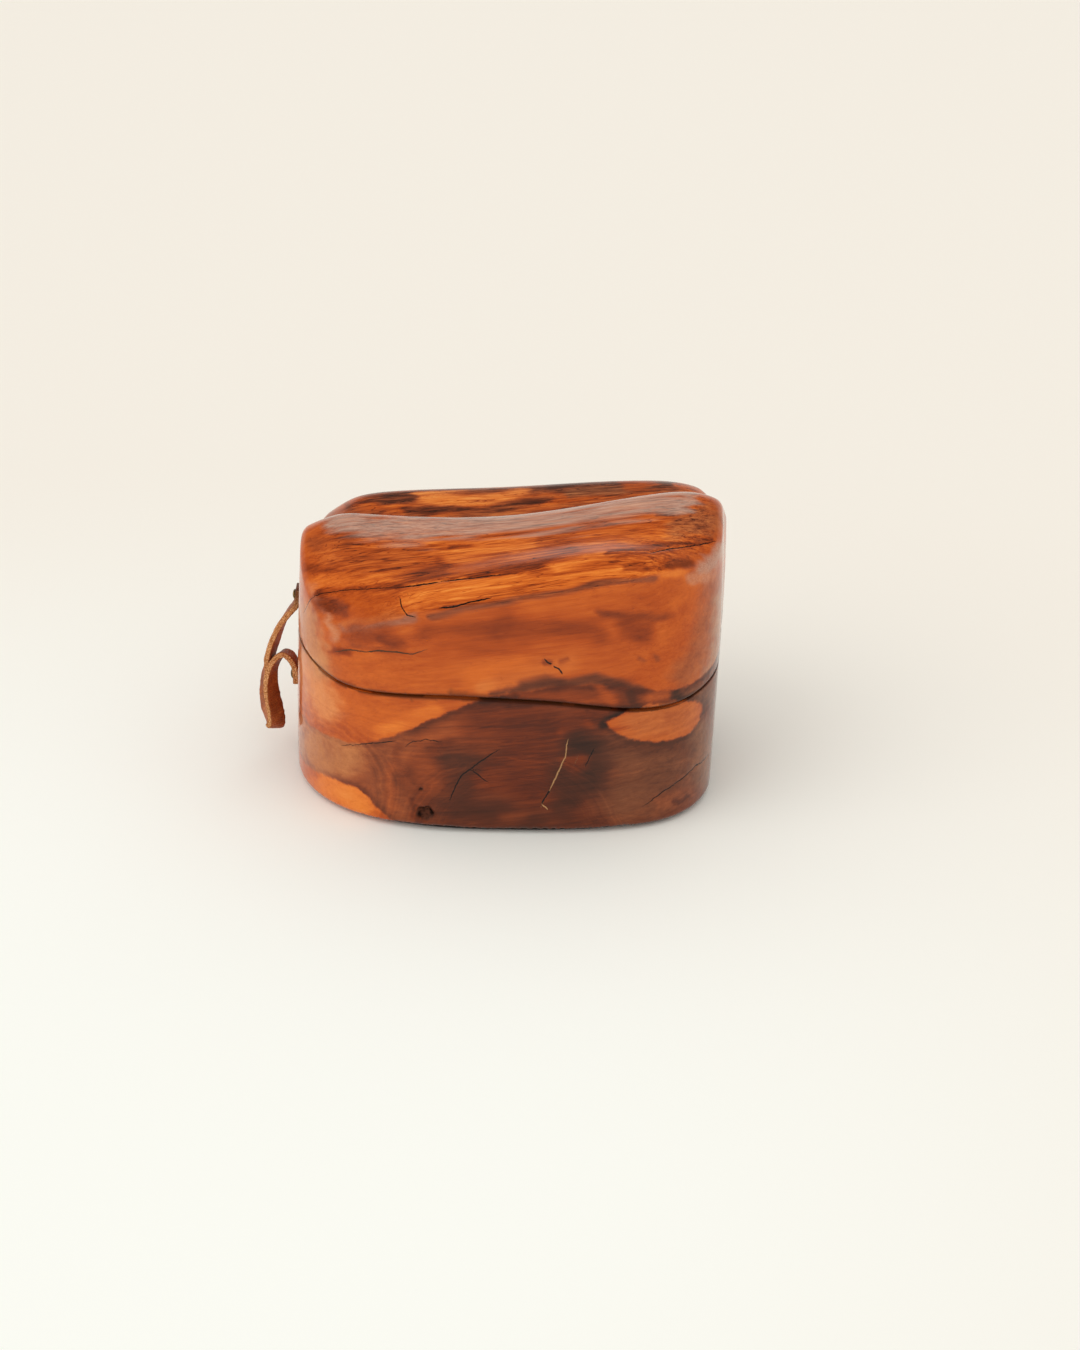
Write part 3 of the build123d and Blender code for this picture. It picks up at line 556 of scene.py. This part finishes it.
# the ragged line where sapwood meets heartwood, a little darker along its rim
frayed = addNode(tree, "Math", {0: grain["ragged"], 1: 0.5}, operation="SUBTRACT")
edge = addNode(tree, "Math", {0: frayed, 1: varnish["sapFray"], 2: figure[0]}, operation="MULTIPLY_ADD")
sap = addNode(tree, "MapRange", {"Value": edge, "From Min": -varnish["sapBlur"], "From Max": varnish["sapBlur"]},
              interpolation_type="SMOOTHSTEP")
rim = addNode(tree, "Math", {0: edge, 1: 0.9}, operation="ADD")
rim = addNode(tree, "MapRange", {"Value": addNode(tree, "Math", {0: rim}, operation="ABSOLUTE"), "From Max": 1.8,
                                 "To Min": -0.06, "To Max": 0.0}, interpolation_type="SMOOTHSTEP")
painted = addNode(tree, "Mix", {"Factor": sap, 4: carried["heartPaint"].outputs["Vector"],
                                5: carried["sapPaint"].outputs["Vector"]}, data_type="VECTOR")
# the third channel is painted sheen, a reflection painted on the varnish
tone, dullness, paintedSheen = addNode(tree, "SeparateXYZ", {0: painted.outputs[1]}).outputs
tone = addNode(tree, "Math", {0: tone, 1: rim}, operation="ADD")
for name, (onWalls, above) in varnish["swings"].items():
    swing = addNode(tree, "Math", {0: grain[name], 1: 0.5}, operation="SUBTRACT")
    amount = addNode(tree, "Math", {0: onTop, 1: above - onWalls, 2: onWalls}, operation="MULTIPLY_ADD")
    tone = addNode(tree, "Math", {0: swing, 1: amount, 2: tone}, operation="MULTIPLY_ADD")
# thin dark veins follow the streaks, mostly on top
vein = addNode(tree, "Math", {0: addNode(tree, "Math", {0: grain["vein"], 1: 0.5}, operation="SUBTRACT")},
               operation="ABSOLUTE")
vein = addNode(tree, "MapRange", {"Value": vein, "From Max": varnish["veinWidth"], "To Min": 1.0, "To Max": 0.0})
amount = addNode(tree, "Math", {0: onTop, 1: varnish["veinOnTop"], 2: varnish["veinOnWalls"]},
                 operation="MULTIPLY_ADD")
tone = addNode(tree, "Math", {0: vein, 1: amount, 2: tone}, operation="MULTIPLY_ADD")
# growth rings, unevenly spaced and bent a little
turns = addNode(tree, "Math", {0: grain["cloud"], 1: varnish["ringBend"]}, operation="MULTIPLY")
turns = addNode(tree, "Math", {0: figure[1], 1: 1 / varnish["ringSpacing"], 2: turns}, operation="MULTIPLY_ADD")
rings = addNode(tree, "TexNoise", {"W": turns, "Scale": 1.0, "Detail": 2.0}, noise_dimensions="1D")
rings = addNode(tree, "Math", {0: addNode(tree, "Math", {0: rings, 1: 0.5}, operation="SUBTRACT"),
                               1: figure[2]}, operation="MULTIPLY")
tone = addNode(tree, "Math", {0: rings, 1: varnish["ringSwing"], 2: tone}, operation="MULTIPLY_ADD", use_clamp=True)
warm = addNode(tree, "ValToRGB", {0: tone}, stops=varnish["warm"])
dull = addNode(tree, "ValToRGB", {0: tone}, stops=varnish["dull"])
colour = addNode(tree, "Mix", {0: dullness, 6: warm, 7: dull}, data_type="RGBA")
# painted sheen: a pale reflection painted on the crest, creases and edges, broken up by the fine streaks
streaky = addNode(tree, "MapRange", {"Value": grain["fine"], "From Min": 0.35, "From Max": 0.65, "To Min": 0.6,
                                     "To Max": 1.25})
paintedSheenShare = addNode(tree, "Math", {0: streaky, 1: paintedSheen}, operation="MULTIPLY")
# cracks and knot holes
wander = addNode(tree, "Math", {0: frayed, 1: 1.1, 2: crackAt[0]}, operation="MULTIPLY_ADD")
off = addNode(tree, "Math", {0: addNode(tree, "Math", {0: wander}, operation="ABSOLUTE"), 1: crackAt[1]},
              operation="SUBTRACT")
gaping = addNode(tree, "MapRange", {"Value": off, "From Min": -0.05, "From Max": 0.14, "To Min": 1.0,
                                    "To Max": 0.0})
crack = addNode(tree, "Math", {0: gaping, 1: addNode(tree, "Math", {0: crackAt[1], 1: 0.01},
                                                     operation="GREATER_THAN")}, operation="MULTIPLY")
filling = addNode(tree, "Mix", {0: crackAt[2], 6: varnish["crackDark"], 7: varnish["crackFilled"]},
                  data_type="RGBA")
torn = addNode(tree, "Math", {0: frayed, 1: 1.3, 2: knot}, operation="MULTIPLY_ADD")
torn = addNode(tree, "MapRange", {"Value": torn, "From Min": 0.3, "From Max": 0.8})
rotten = addNode(tree, "ValToRGB", {0: grain["ragged"]}, stops=varnish["rot"])
# painted shade in the seam between lid and base, with old varnish and dust, darkens the sawn edges
seamShadeAndGrime = addNode(tree, "MapRange", {"Value": carried["seam"].outputs["Fac"], "From Min": 0.7, "From Max": 1.0,
                                   "To Max": 0.75})
# the hollow was never varnished, so it is paler and matt
paler = addNode(tree, "Math", {0: bare, 1: 0.35}, operation="MULTIPLY")
for share, over in ((paintedSheenShare, varnish["paintedSheen"]), (crack, filling.outputs[2]), (torn, rotten), (seamShadeAndGrime, varnish["seamShadeAndGrime"]),
                    (paler, varnish["bareWood"])):
    colour = addNode(tree, "Mix", {0: share, 6: colour.outputs[2], 7: over}, data_type="RGBA")
# wide shallow gouge marks lie under the varnish, and the wood's pores in it
wavy = addNode(tree, "Bump", {"Strength": 0.4, "Distance": varnish["gougeDepth"] * mm, "Height": grain["gouge"]})
pores = addNode(tree, "Bump", {"Strength": 0.3, "Distance": varnish["poreDepth"] * mm, "Height": grain["fine"],
                               "Normal": wavy})
rough = addNode(tree, "Math", {0: bare, 1: varnish["bareRoughness"], 2: varnish["woodRoughness"]},
                operation="MULTIPLY_ADD")
unvarnished = addNode(tree, "Math", {0: bare, 1: knot}, operation="MAXIMUM")
gloss = addNode(tree, "Math", {0: unvarnished, 1: -varnish["gloss"], 2: varnish["gloss"]}, operation="MULTIPLY_ADD")
skin = addNode(tree, "BsdfPrincipled", {"Base Color": colour.outputs[2], "Roughness": rough,
                                        "IOR": varnish["ior"], "Specular IOR Level": 0.1, "Normal": pores,
                                        "Coat Weight": gloss, "Coat Roughness": varnish["glossRoughness"],
                                        "Coat IOR": varnish["ior"], "Coat Normal": wavy})
addNode(tree, "OutputMaterial", {0: skin})

for node, name, body in (("box_base", "carvedBase", "base"), ("box_lid", "carvedLid", "lid")):
    piece = carvedWood(node, name)
    piece.data.materials.append(woodFinish)
    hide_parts(node)
    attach(piece, body)

# Bare beech dowel, turned: pale with straight dark flecks and no shine
dowel = {"fleckWidth": 0.5, "fleckLength": 6, "dark": "#A9794B", "light": "#D9B182", "roughness": 0.62}
dowelFinish = bpy.data.materials.new("turnedBeechDowel")
tree = newTree(dowelFinish)
place = addNode(tree, "TexCoord").outputs["Object"]
thin, long = 1 / dowel["fleckWidth"] / mm, 1 / dowel["fleckLength"] / mm
flecks = addNode(tree, "Mapping", {"Vector": place, "Scale": (thin, thin, long)})
flecks = addNode(tree, "TexNoise", {"Vector": flecks, "Scale": 1.0, "Detail": 3.0})
colour = addNode(tree, "ValToRGB", {0: flecks}, stops=[(0.3, dowel["dark"]), (0.7, dowel["light"])])
relief = addNode(tree, "Bump", {"Strength": 0.4, "Distance": 0.05 * mm, "Height": flecks})
skin = addNode(tree, "BsdfPrincipled", {"Base Color": colour, "Roughness": dowel["roughness"], "Normal": relief})
addNode(tree, "OutputMaterial", {0: skin})
for node in ("left_peg", "right_peg"):
    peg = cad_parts[node]
    peg.data.materials.clear()
    peg.data.materials.append(dowelFinish)
print("pegs are finished")

# Pressed wool felt shows as a soft dark line under the wood; brushed suede is brown and cloudy.
# Fibre sizes are drawn coarser than real ones, so that they show. All lengths are millimetres.
liners = {
    "foot_felt": {"name": "footFelt", "slot": "foot_felt", "finish": "pressedWoolFelt", "facet": 2.0,
                  "uneven": 0.12, "wave": 0.06, "dark": "#1B1512", "light": "#33281F", "fibre": 0.35, "patch": 14,
                  "nap": 0.15, "rough": 0.95, "sheen": 0.35},
    "suede_lining": {"name": "suedeFloor", "slot": "lining_suede", "finish": "brushedSuede", "facet": 2.0,
                     "uneven": 0.2, "wave": 0.06, "dark": "#4A2A1B", "light": "#744630", "fibre": 0.45, "patch": 14,
                     "nap": 0.12, "rough": 0.9, "sheen": 0.5},
}
for node, liner in liners.items():
    material = bpy.data.materials.new(liner["finish"])
    tree = newTree(material)
    place = addNode(tree, "TexCoord").outputs["Object"]
    hairs = addNode(tree, "Mapping", {"Vector": place, "Scale": (1 / liner["fibre"] / mm,) * 3})
    hairs = addNode(tree, "TexNoise", {"Vector": hairs, "Scale": 1.0, "Detail": 5.0, "Roughness": 0.7})
    patches = addNode(tree, "Mapping", {"Vector": place, "Scale": (1 / liner["patch"] / mm,) * 3})
    patches = addNode(tree, "TexNoise", {"Vector": patches, "Scale": 1.0, "Detail": 2.0})
    both = addNode(tree, "Math", {0: addNode(tree, "Math", {0: hairs, 1: patches}), 1: 0.5}, operation="MULTIPLY")
    colour = addNode(tree, "ValToRGB", {0: both}, stops=[(0.35, liner["dark"]), (0.65, liner["light"])])
    relief = addNode(tree, "Bump", {"Strength": 0.8, "Distance": liner["nap"] * mm, "Height": hairs})
    skin = addNode(tree, "BsdfPrincipled", {"Base Color": colour, "Roughness": liner["rough"], "Normal": relief,
                                            "Specular IOR Level": 0.2, "Sheen Weight": liner["sheen"]})
    addNode(tree, "OutputMaterial", {0: skin})

    bm = nodeCopy(node)
    low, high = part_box(node)
    cutFiner(bm, liner["facet"])
    middle = Vector(((low.x + high.x) / 2, (low.y + high.y) / 2, 0))
    corners = {v for e in bm.edges if e.calc_face_angle(0) > 0.9 for v in e.verts}
    for vert in bm.verts:
        outward = Vector((vert.co.x, vert.co.y, 0)) - middle
        turn = math.atan2(outward.y, outward.x)
        if vert in corners:  # the hand-cut edge is a little uneven
            bite = 0.5 + 0.3 * math.sin(turn * 23) + 0.2 * math.sin(turn * 61 + 1)
            vert.co -= outward.normalized() * liner["uneven"] * bite * mm
        elif vert.co.z > (low.z + high.z) / 2:  # the face lies in low waves
            vert.co.z -= liner["wave"] * mm * (1 + math.sin(vert.co.x / 5 / mm) * math.sin(vert.co.y / 6 / mm))
    piece = meshFrom(bm, liner["name"])
    piece.data.materials.append(material)
    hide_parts(node)
    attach(piece, "base")
print("felt and suede are cut")

# The thong, in millimetres and degrees: the route's points, then at each of them the strip's turn about the
# vertical and how far its back edge tips down
thong = {
    "width": 6.6, "thickness": 2.1, "corner": 0.35,
    "uneven": 0.12, "unevenOver": 0.9, "cutFrom": 3,  # the knife's waver, its length, and where the cut edges start
    "hide": 0.55, "clouds": 6, "fibres": 0.34, "ribs": 0.9,
    "faceColours": [(0.36, "#6A2E13"), (0.52, "#A65529"), (0.66, "#CE7D46")],
    "cutColours": [(0.38, "#85491F"), (0.5, "#CF8449"), (0.62, "#F7C48C")],
    "darkerLidEnd": "#3B1F12", "darkerLidEndFor": (2.0, 9.0),  # darker at the lid's end, fading out over these lengths
    "route": [
        (-74.25, 2.4, 66.6), (-74.45, 2.4, 61.3), (-77.6, 2.4, 57.6), (-81.2, 2.4, 52.6), (-83.5, 2.5, 46.8),
        (-85.7, 2.7, 40.4), (-87.5, 3.0, 33.0), (-88.2, 3.2, 24.6), (-88.1, 3.3, 17.0), (-87.8, 3.2, 11.5),
        (-84.7, 0.7, 11.3), (-84.5, 0.4, 16.8), (-85.8, 0.4, 24.0), (-86.2, 0.8, 31.0), (-84.8, 1.6, 36.8),
        (-81.3, 2.3, 41.0), (-78.0, 2.4, 39.0), (-76.6, 2.4, 34.8), (-76.8, 2.4, 29.6),
    ],
    "turns": (0, 2, 6, 12, 18, 14, -22, -38, -34, 0, 44, 46, 42, 30, 18, 12, 6, 0, 0),
    "tips": (0, 0, 4, 8, 12, 16, 20, 24, 24, 24, 24, 24, 20, 18, 18, 16, 10, 0, 0),
}


def splinePlaces(points):
    # the smooth line of the NURBS spline that has these control points
    curve = bpy.data.curves.new("thongRoute", "CURVE")
    curve.dimensions = "3D"
    spline = curve.splines.new("NURBS")
    spline.points.add(len(points) - 1)
    for point, place in zip(spline.points, points):
        point.co = (*[c * mm for c in place], 1)
    spline.order_u = 3
    spline.use_endpoint_u = True
    spline.resolution_u = 12
    holder = bpy.data.objects.new("thongRoute", curve)
    line = bpy.data.meshes.new_from_object(holder)
    places = [vert.co.copy() for vert in line.vertices]
    bpy.data.meshes.remove(line)
    bpy.data.objects.remove(holder)
    bpy.data.curves.remove(curve)
    return places


def sectionPlaces():
    # round the strip's section: broad face, cut edge, broad face, cut edge, with softened corners
    half, deep, soft = thong["width"] / 2, thong["thickness"] / 2, thong["corner"]
    places = []
    for cx, cy, start, along in (
            (half - soft, deep - soft, 0, [(half * s, deep) for s in (0.6, 0.3, 0, -0.3, -0.6)]),
            (soft - half, deep - soft, 90, [(-half, deep * s) for s in (0.3, -0.3)]),
            (soft - half, soft - deep, 180, [(half * s, -deep) for s in (-0.6, -0.3, 0, 0.3, 0.6)]),
            (half - soft, soft - deep, 270, [(half, deep * s) for s in (-0.3, 0.3)])):
        for angle in (start, start + 45, start + 90):
            places.append((cx + soft * math.cos(math.radians(angle)), cy + soft * math.sin(math.radians(angle))))
        places += along
    return places


def thongStrip(line):
    # the section is extruded from place to place as the strip turns
    around = sectionPlaces()
    bm = bmesh.new()
    marks = bm.verts.layers.float_vector.new("strip")
    loop, gone = [], 0.0
    for index, centre in enumerate(line):
        run = (line[min(index + 1, len(line) - 1)] - line[max(index - 1, 0)]).normalized()
        gone += (centre - line[index - 1]).length / mm if index else 0
        # the spline's parameter runs evenly over its control points
        part = index / (len(line) - 1) * (len(thong["turns"]) - 1)
        low = min(int(part), len(thong["turns"]) - 2)
        turn, tip = [math.radians(table[low] + (part - low) * (table[low + 1] - table[low]))
                     for table in (thong["turns"], thong["tips"])]
        sideways = Matrix.Rotation(-turn, 3, "Z") @ Matrix.Rotation(-tip, 3, "X") @ Vector((0, 1, 0))
        sideways = (sideways - run * sideways.dot(run)).normalized()
        through = run.cross(sideways).normalized()
        if loop:
            rim = [bm.edges.get((a, b)) for a, b in zip(loop, loop[1:] + loop[:1])]
            made = bmesh.ops.extrude_edge_only(bm, edges=rim)["geom"]
            fresh = [g for g in made if isinstance(g, bmesh.types.BMVert)]
            loop = [min(fresh, key=lambda v: (v.co - old.co).length_squared) for old in loop]
        else:
            loop = [bm.verts.new() for _ in around]
        for vert, (a, b) in zip(loop, around):
            # a knife cuts hide unevenly, most of all on the cut edges
            waver = noise.noise_vector(Vector((gone / thong["unevenOver"], a / 2, b))) * thong["uneven"]
            onCut = abs(a) > thong["cutFrom"]
            vert.co = centre + (sideways * (a + waver.x * onCut * 2) + through * (b + waver.y)) * mm
            vert[marks] = (a, b, gone)
        if not index:
            bm.faces.new(loop)
    bm.faces.new(loop)
    bmesh.ops.recalc_face_normals(bm, faces=bm.faces)
    return meshFrom(bm, "leatherThong"), gone


# Waxed hide, cut with a knife: smooth red-brown faces with fine ribs, pale speckled fibre on the cut edges
hideFinish = bpy.data.materials.new("waxedHide")
tree = newTree(hideFinish)
place = addNode(tree, "TexCoord").outputs["Object"]
strip = addNode(tree, "SeparateXYZ", {0: addNode(tree, "Attribute", attribute_name="strip").outputs["Vector"]})
grains = {}
for name, detail, rough in (("hide", 4, 0.65), ("clouds", 3, 0.5), ("fibres", 3, 0.7)):
    drawn = addNode(tree, "Mapping", {"Vector": place, "Scale": (1 / thong[name] / mm,) * 3})
    grains[name] = addNode(tree, "TexNoise", {"Vector": drawn, "Scale": 1.0, "Detail": detail, "Roughness": rough})
# the cut edges lie half the width to either side of the strip's middle
cut = addNode(tree, "MapRange", {"Value": addNode(tree, "Math", {0: strip}, operation="ABSOLUTE"),
                                 "From Min": thong["width"] / 2 - 0.2, "From Max": thong["width"] / 2 - 0.04})
both = addNode(tree, "Math", {0: addNode(tree, "Math", {0: grains["hide"], 1: grains["clouds"]}), 1: 0.5},
               operation="MULTIPLY")
face = addNode(tree, "ValToRGB", {0: both}, stops=thong["faceColours"])
raw = addNode(tree, "ValToRGB", {0: grains["fibres"]}, stops=thong["cutColours"])
colour = addNode(tree, "Mix", {0: cut, 6: face, 7: raw}, data_type="RGBA")
near, far = thong["darkerLidEndFor"]
# the strip grows darker towards the lid's end
darkerLidEnd = addNode(tree, "MapRange", {"Value": strip.outputs[2], "From Min": near, "From Max": far, "To Min": 0.7,
                                     "To Max": 0.0})
colour = addNode(tree, "Mix", {0: darkerLidEnd, 6: colour.outputs[2], 7: thong["darkerLidEnd"]}, data_type="RGBA")
# ribs run across the strip
ribs = addNode(tree, "Math", {0: strip.outputs[2], 1: 2 * math.pi / thong["ribs"]}, operation="MULTIPLY")
ribs = addNode(tree, "Math", {0: addNode(tree, "Math", {0: ribs}, operation="SINE"), 1: 0.3, 2: grains["hide"]},
               operation="MULTIPLY_ADD")
height = addNode(tree, "Math", {0: cut, 1: grains["fibres"], 2: ribs}, operation="MULTIPLY_ADD")
relief = addNode(tree, "Bump", {"Strength": 1.0, "Distance": 0.25 * mm, "Height": height})
rough = addNode(tree, "Math", {0: cut, 1: 0.3, 2: 0.5}, operation="MULTIPLY_ADD")
skin = addNode(tree, "BsdfPrincipled", {"Base Color": colour.outputs[2], "Roughness": rough, "IOR": 1.45,
                                        "Specular IOR Level": 0.35, "Normal": relief})
addNode(tree, "OutputMaterial", {0: skin})

# Hammered brass gone brown: dull gold on the crown, dark in the dents
tack = {"headHeight": 0.9, "shankRadius": 0.6, "shankLength": 6.6,
             "dent": 0.8, "dentDepth": 0.1, "dark": "#4C3820", "light": "#A5824A", "roughness": 0.42}
tackFinish = bpy.data.materials.new("agedBrass")
tree = newTree(tackFinish)
place = addNode(tree, "TexCoord").outputs["Object"]
dents = addNode(tree, "Mapping", {"Vector": place, "Scale": (1 / tack["dent"] / mm,) * 3})
dents = addNode(tree, "TexNoise", {"Vector": dents, "Scale": 1.0, "Detail": 3.0})
colour = addNode(tree, "ValToRGB", {0: dents}, stops=[(0.35, tack["dark"]), (0.65, tack["light"])])
relief = addNode(tree, "Bump", {"Strength": 0.6, "Distance": tack["dentDepth"] * mm, "Height": dents})
skin = addNode(tree, "BsdfPrincipled", {"Base Color": colour, "Metallic": 1.0,
                                        "Roughness": tack["roughness"], "Normal": relief})
addNode(tree, "OutputMaterial", {0: skin})

for node, name, body in (("upper_tack", "upperTackHead", "lid"), ("lower_tack", "lowerTackHead", "base")):
    low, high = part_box(node)
    radius = (high.z - low.z) / 2
    bm = bmesh.new()
    bmesh.ops.create_uvsphere(bm, u_segments=28, v_segments=16, radius=radius)
    bmesh.ops.bisect_plane(bm, geom=bm.verts[:] + bm.edges[:] + bm.faces[:], plane_co=(0, 0, 0), plane_no=(0, 0, 1),
                           clear_inner=True)
    bmesh.ops.holes_fill(bm, edges=[e for e in bm.edges if e.is_boundary])
    bmesh.ops.scale(bm, vec=(1, 1, tack["headHeight"] * mm / radius), verts=bm.verts)
    bmesh.ops.create_cone(bm, cap_ends=True, segments=16, radius1=tack["shankRadius"] * mm,
                          radius2=tack["shankRadius"] * mm, depth=tack["shankLength"] * mm,
                          matrix=Matrix.Translation((0, 0, -tack["shankLength"] / 2 * mm)))
    bmesh.ops.rotate(bm, cent=(0, 0, 0), matrix=Matrix.Rotation(math.radians(-90), 3, "Y"), verts=bm.verts)
    bmesh.ops.translate(bm, vec=(low.x + tack["headHeight"] * mm, (low.y + high.y) / 2, (low.z + high.z) / 2),
                        verts=bm.verts)
    bmesh.ops.recalc_face_normals(bm, faces=bm.faces)
    nail = meshFrom(bm, name)
    nail.data.materials.append(tackFinish)
    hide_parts(node)
    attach(nail, body)

line = splinePlaces(thong["route"])
leather, reach = thongStrip(line)
leather.data.materials.append(hideFinish)
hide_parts("leather_thong")
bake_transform(leather)
print("thong is laid,", round(reach, 1), "mm long")
